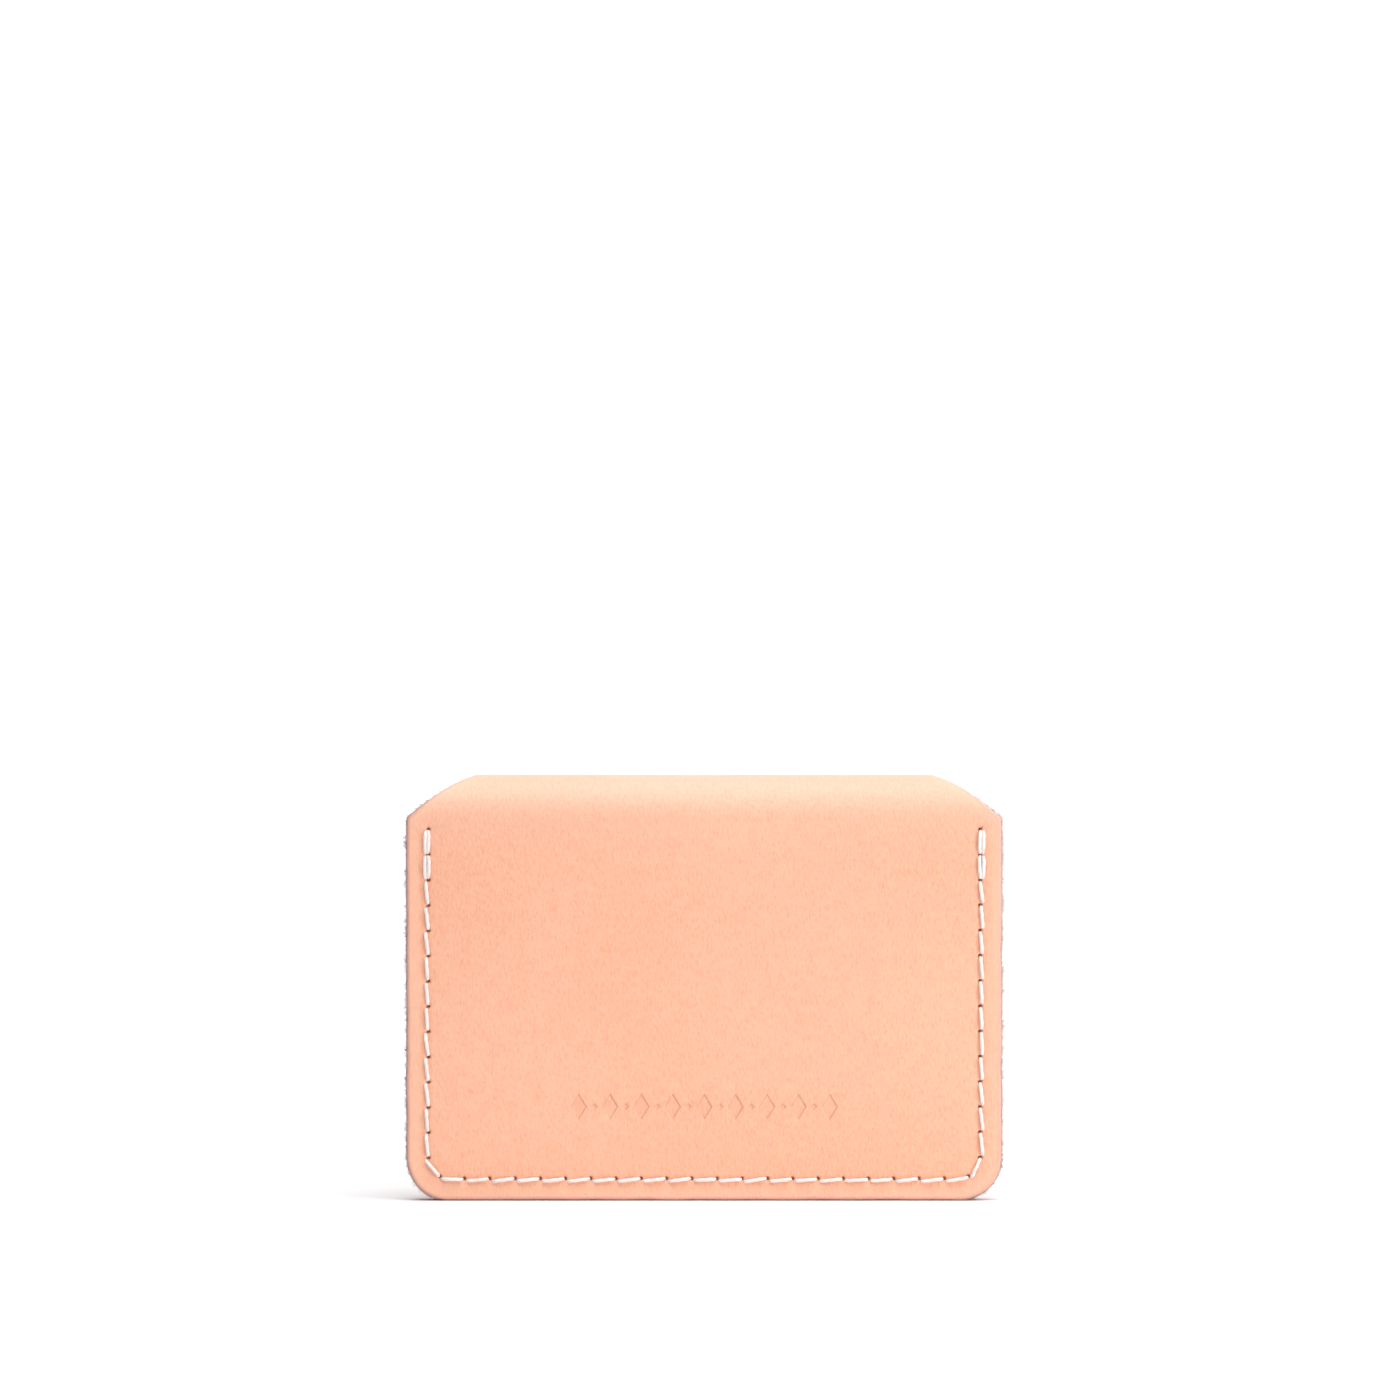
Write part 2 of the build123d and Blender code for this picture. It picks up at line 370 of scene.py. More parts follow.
def uneven(seed):
    """A mark for the slow natural unevenness of a hide's thickness."""
    generator = np.random.default_rng(seed)
    waves = generator.normal(size=(hide_wave_count, 2)) / hide_wave
    phases = generator.uniform(0, 2 * math.pi, hide_wave_count)

    def press(points):
        height = np.sin(points @ waves.T + phases).sum(axis=1)
        return height * hide_wave_height, np.zeros(len(points))

    return press


# ---- the blind-tooled ornament

ornament_height = 16.9 * MM
ornament_half_width = 22.5 * MM
ornament_depth = 0.16 * MM
ornament_rim = 0.12
lozenge_count = 9
lozenge_half = np.array([1.45, 2.35]) * MM
dot_half = np.array([0.62, 0.62]) * MM

lozenge_centres = np.column_stack(
    [
        np.linspace(-ornament_half_width, ornament_half_width, lozenge_count),
        np.full(lozenge_count, ornament_height),
    ]
)
dot_centres = (lozenge_centres[1:] + lozenge_centres[:-1]) / 2
ornaments = [(c, lozenge_half) for c in lozenge_centres] + [(c, dot_half) for c in dot_centres]


def ornament_points():
    """Mesh points along each stamp's walls."""
    rings = []
    corners = np.array([(1, 0), (0, 1), (-1, 0), (0, -1)])
    for centre, half in ornaments:
        for grow in (-0.5, -0.26, -0.1, 0.06, 0.22):
            ring = centre + corners * (half + grow * MM)
            if half.min() + grow * MM > 0.1 * MM:
                rings.append(resampled(ring, 0.24 * MM))
    return np.vstack(rings)


def ornament_marks(points):
    """How deep the stamp has pressed the grain down at each point, and how much darker it is: burnished
    where pressed, with painted shade on the stamp's walls.
    """
    depth = np.zeros(len(points))
    burnish_and_shade = np.zeros(len(points))
    for centre, half in ornaments:
        away = np.abs(points - centre)
        slope = half.prod() / np.linalg.norm(half)
        edge = ((away / half).sum(axis=1) - 1) * slope
        pressed = 1 - smooth(edge, -0.22 * MM, 0.1 * MM)
        rim = ornament_rim * bell(edge - 0.2 * MM, 0.14 * MM)
        # painted shade on the stamp's walls
        wall = bell(edge + 0.06 * MM, 0.12 * MM)
        depth = np.maximum(depth, pressed * ornament_depth) - rim * ornament_depth
        burnish_and_shade = np.maximum(burnish_and_shade, 0.12 * pressed + 0.36 * wall)
    return depth, burnish_and_shade


# ---- leather sheets


def grid_points(low, high):
    """A staggered grid over a rectangle, whose rows follow the fold's angles where they cross it."""
    rows = np.concatenate(
        [
            np.arange(low[1], fold_z, grid_step),
            fold_z + fold_radius * math.pi * np.arange(fold_rows + 1) / fold_rows,
            np.arange(flap_start + grid_step, high[1], grid_step),
        ]
    )
    rows = rows[(rows >= low[1]) & (rows <= high[1])]
    points = []
    for i, v in enumerate(rows):
        u = np.arange(low[0] + (i % 2) * grid_step / 2, high[0], grid_step)
        points.append(np.column_stack([u, np.full(len(u), v)]))
    return np.vstack(points)


def row_points():
    """Mesh points that follow the stitch row, with rings round each needle hole."""
    points = []
    for start, end in zip(stitch_starts, stitch_ends):
        run = end - start
        side = np.array([-run[1], run[0]]) / np.linalg.norm(run)
        for share in np.linspace(0.1, 0.9, 11):
            for offset in (-1.5, -0.95, -0.6, -0.3, 0, 0.3, 0.6, 0.95, 1.5):
                points.append(start + run * share + side * offset * MM)
    for mark, run in zip(needle_marks, crease_runs):
        points.append(mark)
        for scale, count in ((0.35, 8), (0.62, 10), (0.85, 12), (1.1, 14), (1.45, 16), (2.0, 16)):
            for angle in np.linspace(0, 2 * math.pi, count, endpoint=False):
                around = np.array([math.cos(angle), math.sin(angle)])
                points.append(mark + around * scale * 1.15 * needle_radius)
        side = np.array([-run[1], run[0]]) / np.linalg.norm(run)
        for share in (0.62, 0.8, 0.98):
            for offset in (-0.14, -0.02, 0.1):
                points.append(mark + run * share + side * offset * MM)
    return np.array(points)


def noise_ring(count, waves, seed):
    """A smooth closed random curve with zero mean and about unit height."""
    generator = np.random.default_rng(seed)
    angles = np.linspace(0, 2 * math.pi, count, endpoint=False)
    total = np.zeros(count)
    for wave in waves:
        total += generator.normal() * np.sin(wave * angles + generator.uniform(0, 2 * math.pi))
    return total / math.sqrt(len(waves))


def triangulated(ring, points, lines=()):
    """Triangles that fill a closed polyline through the points. Lines lists polylines of indices
    into the ring and then the points, which the triangles' edges follow."""
    everything = np.vstack([ring, points])
    in_mm = [Vector(p * 1000) for p in everything]
    edges = [(a, b) for line in lines for a, b in zip(line, line[1:])]
    border = list(range(len(ring)))
    result = delaunay_2d_cdt(in_mm, edges, [border], 1, 1e-5)
    vertices, triangles, origins = result[0], result[2], result[3]
    index = np.array([origin[0] if origin else -1 for origin in origins])
    if (index < 0).any() or len(vertices) != len(everything):
        raise ValueError("the sheet's mesh points coincide or its lines cross")
    return everything, index[np.array(triangles)]


def edge_profile():
    """(inset from the outline, depth) from the grain face round the cut edge to the flesh face. The
    grain is drawn in a little, so the raw edge under it stands out."""
    profile = []
    for angle in np.linspace(90, 0, 6):
        turn = math.radians(angle)
        inset = grain_inset + grain_roll * (1 - math.cos(turn))
        profile.append((inset, grain_roll * (1 - math.sin(turn))))
    for share in (0.16, 0.4, 0.62, 0.84):
        profile.append((0, grain_roll + share * (leather - grain_roll - flesh_roll)))
    for angle in np.linspace(0, 90, 4):
        turn = math.radians(angle)
        profile.append((flesh_roll * (1 - math.cos(turn)), leather - flesh_roll * (1 - math.sin(turn))))
    return profile


def edge_rings(ring, normals, seed):
    """The flat rings from the grain face round the raw edge to the flesh face, and their depths."""
    count = len(ring)
    rings = []
    depths = []
    for level, (inset, depth) in enumerate(edge_profile()):
        rough = noise_ring(count, range(count // 9, count // 3, 7), seed + level) * fray
        shown = smooth(depth, grain_roll * 0.9, grain_roll * 1.3)
        level_ring = ring + normals * (shown * rough - inset)[:, None]
        level_ring[:, 1] = np.maximum(level_ring[:, 1], 0)
        rings.append(level_ring)
        depths.append(depth)
    return rings, depths


def tube_faces(rings, sides, first=0, capped=True):
    """The faces of a tube whose rings of vertices follow each other from first. It has an end cap on
    each end, or else its last ring joins its first."""
    faces = []
    if capped:
        last = first + (rings - 1) * sides
        faces = [tuple(range(first + sides - 1, first - 1, -1)), tuple(range(last, last + sides))]
    for i in range(rings - capped):
        this = first + i * sides
        following = first + (i + 1) % rings * sides
        for k in range(sides):
            after = (k + 1) % sides
            faces.append((this + k, this + after, following + after, following + k))
    return faces


spike_rings = 4


def edge_fibres(ring, normals, seed):
    """Loose fibres that stand out of the raw edge: closed three-sided spikes, each a run of
    triangles, as (u, v, depth)."""
    generator = np.random.default_rng(seed)
    count = round(len(ring) * outline_step / fibre_spacing)
    column = generator.integers(0, len(ring), count)
    tufted = np.clip(1 + 1.1 * noise_ring(len(ring), range(40, 160, 9), seed + 50)[column], 0.25, 4)
    length = np.minimum(fibre_length * (0.5 + generator.exponential(1, count)) * tufted, longest_fibre)
    out = normals[column]
    along = np.column_stack([-out[:, 1], out[:, 0]])
    lean = generator.normal(size=count) * 0.75
    droop = generator.normal(size=count) * 0.4
    start_depth = generator.uniform(grain_roll * 1.05, leather - flesh_roll, count)
    spikes = np.zeros((count, spike_rings, 3, 3))
    for i, share in enumerate(np.linspace(0, 1, spike_rings)):
        reach = length * share
        middle = ring[column] + out * (reach - 2 * fibre_radius)[:, None]
        middle = middle + along * (lean * reach * share)[:, None]
        radius = fibre_radius * (1 - 0.8 * share)
        for k in range(3):
            angle = 2 * math.pi * k / 3
            spikes[:, i, k, :2] = middle + along * radius * math.cos(angle)
            spikes[:, i, k, 2] = start_depth + droop * reach * share + radius * math.sin(angle)
    spikes[..., 1] = np.maximum(spikes[..., 1], 0.3 * fibre_radius)
    return spikes.reshape(count, 3 * spike_rings, 3)


def cut_columns(ring, cuts):
    """For each cut, the outline's points nearest to it on the right and on the left."""
    crossings = []
    for cut in cuts:
        away = np.abs(ring[:, 1] - cut)
        crossings.append([np.where(ring[:, 0] * side > 0, away, np.inf).argmin() for side in (1, -1)])
    return crossings


def face_mesh(border, points, cuts, crossings):
    """One face of a sheet: its flat points, its triangles and each triangle's section."""
    points = points[inside(points, border)]
    points = points[distance_to_points(points, border) > border_gap]
    lines = []
    edges = []
    for cut, (right, left) in zip(cuts, crossings):
        row = np.flatnonzero(np.abs(points[:, 1] - cut) < same_place)
        row = row[np.argsort(points[row, 0])]
        lines.append([left, *(row + len(border)), right])
        edges.append(np.vstack([border[left], points[row], border[right]]))
    everything, triangles = triangulated(border, points, lines)
    middles = everything[triangles].mean(axis=1)
    section = np.zeros(len(triangles), int)
    for edge in edges:
        section += middles[:, 1] > np.interp(middles[:, 0], edge[:, 0], edge[:, 1])
    return everything, triangles, section


def edge_faces(count, levels, first):
    """The quads round the raw edge. The grain face's ring starts at 0 and the others follow first."""
    starts = [0] + [first + count * level for level in range(levels - 1)]
    this = np.arange(count)
    following = (this + 1) % count
    bands = [
        np.column_stack([a + this, b + this, b + following, a + following])
        for a, b in zip(starts, starts[1:])
    ]
    return np.vstack(bands).tolist()


def sheet(outline, place, details=None, marks=(), cuts=(), seed=1):
    """A closed leather sheet as a dict of arrays. Place maps (u, v, depth) arrays to positions.
    Details are extra mesh points and marks press into the grain. Cuts are v values where the sheet is
    divided: each face gets the number of the section that it belongs to."""
    ring = resampled(outline, outline_step)
    count = len(ring)
    normals = outward_normals(ring)
    ring = ring + normals * (noise_ring(count, range(5, 60, 3), seed) * outline_wander)[:, None]
    rings, ring_depths = edge_rings(ring, normals, seed)
    crossings = cut_columns(ring, cuts)
    grid = grid_points(ring.min(axis=0), ring.max(axis=0))
    dense = grid
    if details is not None:
        dense = np.vstack([details, grid[distance_to_points(grid, details) > detail_gap]])
    grain, grain_faces, grain_sections = face_mesh(rings[0], dense, cuts, crossings)
    flesh, flesh_faces, flesh_sections = face_mesh(rings[-1], grid, cuts, crossings)
    raw_edge = np.vstack(rings[1:-1])
    fibres = edge_fibres(ring, normals, seed)
    fibre_corners = fibres.reshape(-1, 3)

    flesh_start = len(grain) + len(raw_edge)
    fibre_start = flesh_start + len(flesh)
    band_faces = edge_faces(count, len(rings), len(grain))
    faces = grain_faces.tolist() + band_faces + (flesh_faces + flesh_start).tolist()
    spike_faces = tube_faces(spike_rings, 3)
    for first in range(fibre_start, fibre_start + len(fibre_corners), fibres.shape[1]):
        faces += [[first + k for k in face] for face in spike_faces]

    column_sections = np.zeros(count, int)
    for right, left in crossings:
        column_sections[right:left] += 1
    fibre_sections = np.zeros(len(fibres), int)
    for cut in cuts:
        fibre_sections += fibres[:, 0, 1] > cut
    sections = [
        grain_sections,
        np.tile(column_sections, len(rings) - 1),
        flesh_sections,
        np.repeat(fibre_sections, len(spike_faces)),
    ]
    kind_counts = [len(grain_faces) + len(band_faces), len(flesh_faces), len(sections[3])]

    uv = np.vstack([grain, raw_edge, flesh, fibre_corners[:, :2]])
    depth = np.zeros(len(uv))
    dark = np.zeros(len(uv))
    for press in marks:
        pressed, darkened = press(grain)
        depth[: len(grain)] += pressed
        dark[: len(grain)] = np.maximum(dark[: len(grain)], darkened)
    depth[len(grain) : flesh_start] = np.repeat(ring_depths[1:-1], count)
    depth[flesh_start:fibre_start] = leather
    depth[fibre_start:] = fibre_corners[:, 2]
    rim = np.zeros(len(uv))
    rim[: len(grain)] = distance_to_points(grain, ring)
    return {
        "position": place(uv[:, 0], uv[:, 1], depth),
        "sheet": np.column_stack([uv, depth]),
        "mark": dark,
        "rim": rim,
        "faces": faces,
        "section": np.concatenate(sections),
        "kind": np.repeat([0, 1, 2], kind_counts),
    }


def finished(name, mesh, materials, sharp=50, merge=False):
    """A smooth-shaded piece from a mesh, with its holes filled and its faces turned outwards."""
    shape = bmesh.new()
    shape.from_mesh(mesh)
    if merge:
        bmesh.ops.remove_doubles(shape, verts=shape.verts, dist=1e-6)
    open_edges = [e for e in shape.edges if e.is_boundary]
    if open_edges:
        filled = bmesh.ops.holes_fill(shape, edges=open_edges, sides=0)["faces"]
        for face in filled:
            face.material_index = 0
        bmesh.ops.triangulate(shape, faces=filled)
    bmesh.ops.recalc_face_normals(shape, faces=shape.faces)
    shape.to_mesh(mesh)
    shape.free()
    for material in materials:
        mesh.materials.append(material)
    mesh.shade_smooth()
    mesh.set_sharp_from_angle(angle=math.radians(sharp))
    mesh.validate()
    piece = bpy.data.objects.new(name, mesh)
    bpy.context.scene.collection.objects.link(piece)
    return piece


def stands_for(piece, slot, *nodes):
    """Hides the frame parts of these nodes, whose place the piece takes. The piece and the slot are not
    used.
    """
    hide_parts(*nodes)


def build_sheet(name, data, materials, section=0):
    """A closed piece from one section of a sheet."""
    chosen = np.flatnonzero(data["section"] == section)
    used = np.unique(np.concatenate([data["faces"][f] for f in chosen]))
    renumber = np.full(len(data["position"]), -1)
    renumber[used] = np.arange(len(used))
    mesh = bpy.data.meshes.new(name)
    faces = [renumber[data["faces"][f]].tolist() for f in chosen]
    mesh.from_pydata(data["position"][used].tolist(), [], faces)
    mesh.polygons.foreach_set("material_index", data["kind"][chosen].astype(np.int32))
    coordinates = mesh.attributes.new("sheet", "FLOAT_VECTOR", "POINT")
    coordinates.data.foreach_set("vector", data["sheet"][used].astype(np.float32).ravel())
    for key in ("mark", "rim"):
        values = mesh.attributes.new(key, "FLOAT", "POINT")
        values.data.foreach_set("value", data[key][used].astype(np.float32))
    return finished(name, mesh, materials)


def bowed(u, v):
    """How far the back panel bows out over the cards behind it."""
    across = smooth(half_width - np.abs(u), stitch_inset, stitch_inset + back_bow_side)
    up = smooth(v, stitch_inset, stitch_inset + back_bow_end)
    below_fold = 1 - smooth(v, fold_z - back_bow_end, fold_z)
    return back_bow * across * up * below_fold


def bent(u, v, depth):
    """Where a point of the body's flat sheet lies on the closed holder."""
    angle = np.clip((v - fold_z) / fold_radius, 0, math.pi)
    radius = fold_radius - depth
    y = fold_y - radius * np.cos(angle) - bowed(u, v)
    z = np.minimum(v, fold_z) + radius * np.sin(angle) - np.maximum(v - flap_start, 0)
    return np.column_stack([u, y, z])


def formed(margin, crown):
    """A mapping for a sewn panel whose outer face rises from margin on the seam to crown."""

    def place(u, v, depth):
        across = smooth(half_width - np.abs(u), pocket_seam, pocket_seam + side_ramp)
        up = smooth(v, pocket_seam, pocket_seam + bottom_ramp)
        return np.column_stack([u, margin + (crown - margin) * across * up - depth, v])

    return place


# ---- materials


def new_material(name):
    """An empty node material with its principled shader."""
    material = bpy.data.materials.new(name)
    material.use_nodes = True
    tree = material.node_tree
    tree.nodes.clear()
    shader = new_node(tree, "BsdfPrincipled")
    new_node(tree, "OutputMaterial", Surface=shader.outputs[0])
    return material, tree, shader


def feed(tree, socket, value):
    """Links a socket to another node's output, or sets its value."""
    if isinstance(value, bpy.types.NodeSocket):
        tree.links.new(value, socket)
    else:
        socket.default_value = value


def set_inputs(tree, node, **values):
    """Links or sets a node's inputs. Their names have _ for each space."""
    for name, value in values.items():
        feed(tree, node.inputs[name.replace("_", " ")], value)


def new_node(tree, kind, **values):
    """A node of a kind, with its inputs."""
    node = tree.nodes.new("ShaderNode" + kind)
    set_inputs(tree, node, **values)
    return node


def math_node(tree, operation, a, b=0.0):
    """One arithmetic step on two values."""
    node = new_node(tree, "Math")
    node.operation = operation
    for socket, value in zip(node.inputs, (a, b)):
        feed(tree, socket, value)
    return node.outputs[0]


def weighted(tree, total, value, weight):
    """The total plus the value times a weight."""
    return math_node(tree, "ADD", total, math_node(tree, "MULTIPLY", value, weight))


def step_node(tree, value, low, high, to_low=0.0, to_high=1.0):
    """A smooth step from to_low to to_high as the value goes from low to high."""
    node = new_node(
        tree, "MapRange", Value=value, From_Min=low, From_Max=high, To_Min=to_low, To_Max=to_high
    )
    node.interpolation_type = "SMOOTHSTEP"
    return node.outputs["Result"]


def mix_colour(tree, factor, a, b):
    """A blend of two colours, each a tuple or another node's output."""
    node = tree.nodes.new("ShaderNodeMix")
    node.data_type = "RGBA"
    feed(tree, node.inputs["Factor"], factor)
    for socket, value in zip(node.inputs[6:8], (a, b)):
        feed(tree, socket, (*value, 1) if isinstance(value, tuple) else value)
    return node.outputs[2]


def layered(tree, colour, *layers):
    """A colour under layers of (tint, value, low, high, to_low, to_high), each mixed in by a step."""
    for tint, value, *steps in layers:
        colour = mix_colour(tree, step_node(tree, value, *steps), colour, tint)
    return colour


def noise_node(tree, coordinates, size, detail=3.0, roughness=0.5, distortion=0.0):
    """Noise whose features are about the given size in metres."""
    node = new_node(tree, "TexNoise", Vector=coordinates, Scale=1 / size)
    set_inputs(tree, node, Detail=detail, Roughness=roughness, Distortion=distortion)
    return node.outputs[0]


def cell_node(tree, coordinates, size, feature="F1"):
    """Distance in a pattern of random cells of about the given size in metres."""
    node = new_node(tree, "TexVoronoi", Vector=coordinates, Scale=1 / size)
    node.feature = feature
    return node.outputs["Distance"]


def attribute_node(tree, name, output="Vector"):
    """A value that the mesh carries at each vertex."""
    node = new_node(tree, "Attribute")
    node.attribute_name = name
    return node.outputs[output]


def scaled_vector(tree, vector, scale):
    """Coordinates stretched along their axes, for a pattern that runs one way."""
    return new_node(tree, "Mapping", Vector=vector, Scale=scale).outputs[0]


def bump_node(tree, height, distance, strength=1.0):
    """The normal of a surface whose height varies by about the distance."""
    return new_node(tree, "Bump", Distance=distance, Strength=strength, Height=height).outputs[0]


grain_colour = (0.87, 0.43, 0.277)
grain_warm = (0.86, 0.38, 0.232)
grain_light = (0.88, 0.476, 0.32)
grain_deep = (0.83, 0.345, 0.206)
# painted highlight: a paler grain colour for the top of the fold, where light from above falls
fold_highlight_colour = (0.89, 0.60, 0.49)
# painted highlight: a lighter band along the rim, where the rolled edge catches the light
rim_highlight = (0.86, 0.52, 0.37)
rim_pink = (0.80, 0.39, 0.31)
pore_colour = (0.62, 0.27, 0.16)
fleck_colour = (0.9, 0.6, 0.45)
# painted shade in needle holes and stitch creases, and the ornament's burnishing with painted shade on
# its walls
shade_and_burnish_brown = (0.27, 0.08, 0.025)
edge_tan = (0.66, 0.42, 0.34)
# dark plum of the raw edge: partly its own tone, partly painted shade of the edge's shaded fringe
edge_plum_and_shade = (0.24, 0.125, 0.14)
# dark plum fibres: partly their own tone, partly painted shade of the edge's shaded fringe
fibre_plum_and_shade = (0.17, 0.09, 0.11)
fibre_pale = (0.4, 0.26, 0.27)
flesh_colour = (0.80, 0.54, 0.385)
flesh_warm = (0.72, 0.45, 0.30)
flesh_dark = (0.62, 0.37, 0.25)
thread_shade = (0.80, 0.68, 0.65)
thread_cream = (0.90, 0.82, 0.78)
thread_white = (0.93, 0.87, 0.84)
brass_bright = (0.86, 0.66, 0.38)
brass_dull = (0.62, 0.42, 0.2)
steel_bright = (0.72, 0.72, 0.7)
steel_dull = (0.5, 0.5, 0.5)

streak_shape = (1, 0.34, 1)
# where the fold's painted highlight is full, where it has faded out, and how strong it is
fold_highlight_near = 2 * MM
fold_highlight_far = 21 * MM
fold_highlight_share = 0.33


def grain_material():
    """Smooth natural vegetable-tanned grain, raw and fibrous at the cut edge."""
    material, tree, shader = new_material("leather_grain")
    place = attribute_node(tree, "sheet")
    mark = attribute_node(tree, "mark", "Fac")
    rim = attribute_node(tree, "rim", "Fac")
    separate = new_node(tree, "SeparateXYZ", Vector=place)
    depth = separate.outputs["Z"]
    clouds = noise_node(tree, place, 45 * MM, 1, 0.4)
    mottle = noise_node(tree, place, 2.6 * MM, 3, 0.6)
    fine = noise_node(tree, place, 0.4 * MM, 4, 0.65)
    streaks = noise_node(tree, scaled_vector(tree, place, streak_shape), 0.36 * MM, 2, 0.55, 0.5)
    pores = cell_node(tree, place, 0.7 * MM)
    pebbles = cell_node(tree, place, 0.95 * MM, "SMOOTH_F1")
    from_fold = math_node(tree, "SUBTRACT", separate.outputs["Y"], (fold_z + flap_start) / 2)
    from_fold = math_node(tree, "ABSOLUTE", from_fold)
    colour = layered(
        tree,
        mix_colour(tree, step_node(tree, clouds, 0.3, 0.7), grain_colour, grain_light),
        (grain_warm, mottle, 0.35, 0.7, 0, 0.55),
        (grain_light, streaks, 0.42, 0.64, 0, 0.75),
        (grain_deep, streaks, 0.3, 0.46, 0.5, 0),
        # painted highlight: paler towards the top of the fold
        (fold_highlight_colour, from_fold, fold_highlight_near, fold_highlight_far, fold_highlight_share, 0),
        # painted highlight along the rim, fading out 3.4 mm in from the outline
        (rim_highlight, rim, 1.2 * MM, 3.4 * MM, 0.4, 0),
        (rim_pink, rim, 0.35 * MM, 1.0 * MM, 0.7, 0),
        (pore_colour, pores, 0.04, 0.2, 0.3, 0),
        (fleck_colour, fine, 0.56, 0.76, 0, 0.28),
        # painted shade in needle holes and creases, and the ornament's burnishing and painted wall shade
        (shade_and_burnish_brown, mark, 0.0, 1.0, 0, 0.95),
    )

    fibres = noise_node(tree, scaled_vector(tree, place, (1, 1, 0.35)), 0.2 * MM, 3, 0.7)
    tufts = noise_node(tree, place, 0.9 * MM, 2, 0.6)
    # dark plum streaks on the raw edge, partly its own tone and partly painted shade
    plum = weighted(tree, fibres, tufts, 0.5)
    edge = mix_colour(tree, step_node(tree, plum, 0.64, 1.1), edge_tan, edge_plum_and_shade)
    raw = step_node(tree, depth, grain_roll * 0.5, grain_roll * 0.9)
    raw = math_node(tree, "MULTIPLY", raw, math_node(tree, "LESS_THAN", mark, 0.001))
    colour = mix_colour(tree, raw, colour, edge)

    height = weighted(tree, math_node(tree, "MULTIPLY", pebbles, 0.6), fine, 0.7)
    height = math_node(tree, "ADD", height, streaks)
    height = math_node(tree, "ADD", height, step_node(tree, pores, 0.0, 0.2, -0.55, 0))
    height = weighted(tree, height, math_node(tree, "MULTIPLY", fibres, raw), 3.0)
    satin = weighted(tree, step_node(tree, fine, 0.3, 0.7, 0.52, 0.66), raw, 0.3)
    bump = bump_node(tree, height, 0.07 * MM)
    set_inputs(tree, shader, Base_Color=colour, Normal=bump, Roughness=satin)
    set_inputs(tree, shader, Specular_IOR_Level=0.42, Sheen_Weight=0.3, Sheen_Roughness=0.35)
    return material


def fibre_material():
    """The loose fibres of the raw edge, from plum to pale; the dark plum is partly their own tone and
    partly painted shade of the edge's fringe.
    """
    material, tree, shader = new_material("leather_fibre")
    tone = noise_node(tree, attribute_node(tree, "sheet"), 0.55 * MM, 2, 0.6)
    colour = mix_colour(tree, step_node(tree, tone, 0.35, 0.7), fibre_plum_and_shade, fibre_pale)
    set_inputs(tree, shader, Base_Color=colour, Roughness=0.85, Specular_IOR_Level=0.15)
    return material


def flesh_material():
    """The suede underside of the same leather."""
    material, tree, shader = new_material("leather_flesh")
    place = attribute_node(tree, "sheet")
    nap = noise_node(tree, scaled_vector(tree, place, (1, 0.45, 1)), 0.32 * MM, 4, 0.75, 0.6)
    clouds = noise_node(tree, place, 7 * MM, 3, 0.6)
    lengthwise = scaled_vector(tree, place, (1.4, 0.5, 1))
    strands = cell_node(tree, lengthwise, 0.5 * MM, "DISTANCE_TO_EDGE")
    colour = mix_colour(tree, step_node(tree, nap, 0.35, 0.68), flesh_dark, flesh_colour)
    colour = layered(tree, colour, (flesh_warm, clouds, 0.35, 0.7, 0, 0.35))
    bump = bump_node(tree, weighted(tree, nap, strands, 0.7), 0.14 * MM, 0.9)
    matt = step_node(tree, nap, 0.3, 0.7, 0.86, 0.98)
    set_inputs(tree, shader, Base_Color=colour, Normal=bump, Roughness=matt)
    set_inputs(tree, shader, Specular_IOR_Level=0.15, Sheen_Weight=0.25, Sheen_Roughness=0.4)
    return material


def thread_material():
    """Waxed cream thread: fine fibres twisted along it."""
    material, tree, shader = new_material("thread_cream")
    place = attribute_node(tree, "sheet")
    fibres = noise_node(tree, scaled_vector(tree, place, (0.25, 1, 1)), 0.09 * MM, 3, 0.7)
    tone = noise_node(tree, place, 2.5 * MM, 2, 0.5)
    colour = mix_colour(tree, step_node(tree, fibres, 0.3, 0.7), thread_shade, thread_cream)
    colour = layered(tree, colour, (thread_white, tone, 0.35, 0.7, 0, 0.3))
    bump = bump_node(tree, fibres, 0.04 * MM, 0.8)
    waxed = step_node(tree, fibres, 0.3, 0.7, 0.55, 0.75)
    set_inputs(tree, shader, Base_Color=colour, Normal=bump, Roughness=waxed, Sheen_Weight=0.2)
    return material


def metal_material(name, bright, dull, roughness):
    """Satin metal with fine turning marks and a little tarnish."""
    material, tree, shader = new_material(name)
    place = new_node(tree, "TexCoord").outputs["Object"]
    tarnish = noise_node(tree, place, 2.2 * MM, 4, 0.65)
    scratches = noise_node(tree, scaled_vector(tree, place, (1, 0.12, 0.12)), 0.12 * MM, 2, 0.6)
    colour = mix_colour(tree, step_node(tree, tarnish, 0.35, 0.75, 0, 0.6), bright, dull)
    spread = step_node(tree, tarnish, 0.3, 0.75, roughness, roughness + 0.16)
    bump = bump_node(tree, scratches, 0.006 * MM, 0.5)
    set_inputs(tree, shader, Base_Color=colour, Metallic=1.0, Roughness=spread, Normal=bump)
    return material


leather_materials = (grain_material(), flesh_material(), fibre_material())
thread = thread_material()
brass = metal_material("snap_brass", brass_bright, brass_dull, 0.2)
steel = metal_material("spring_steel", steel_bright, steel_dull, 0.22)

# ---- the body: one sheet in three sections, cut across the fold

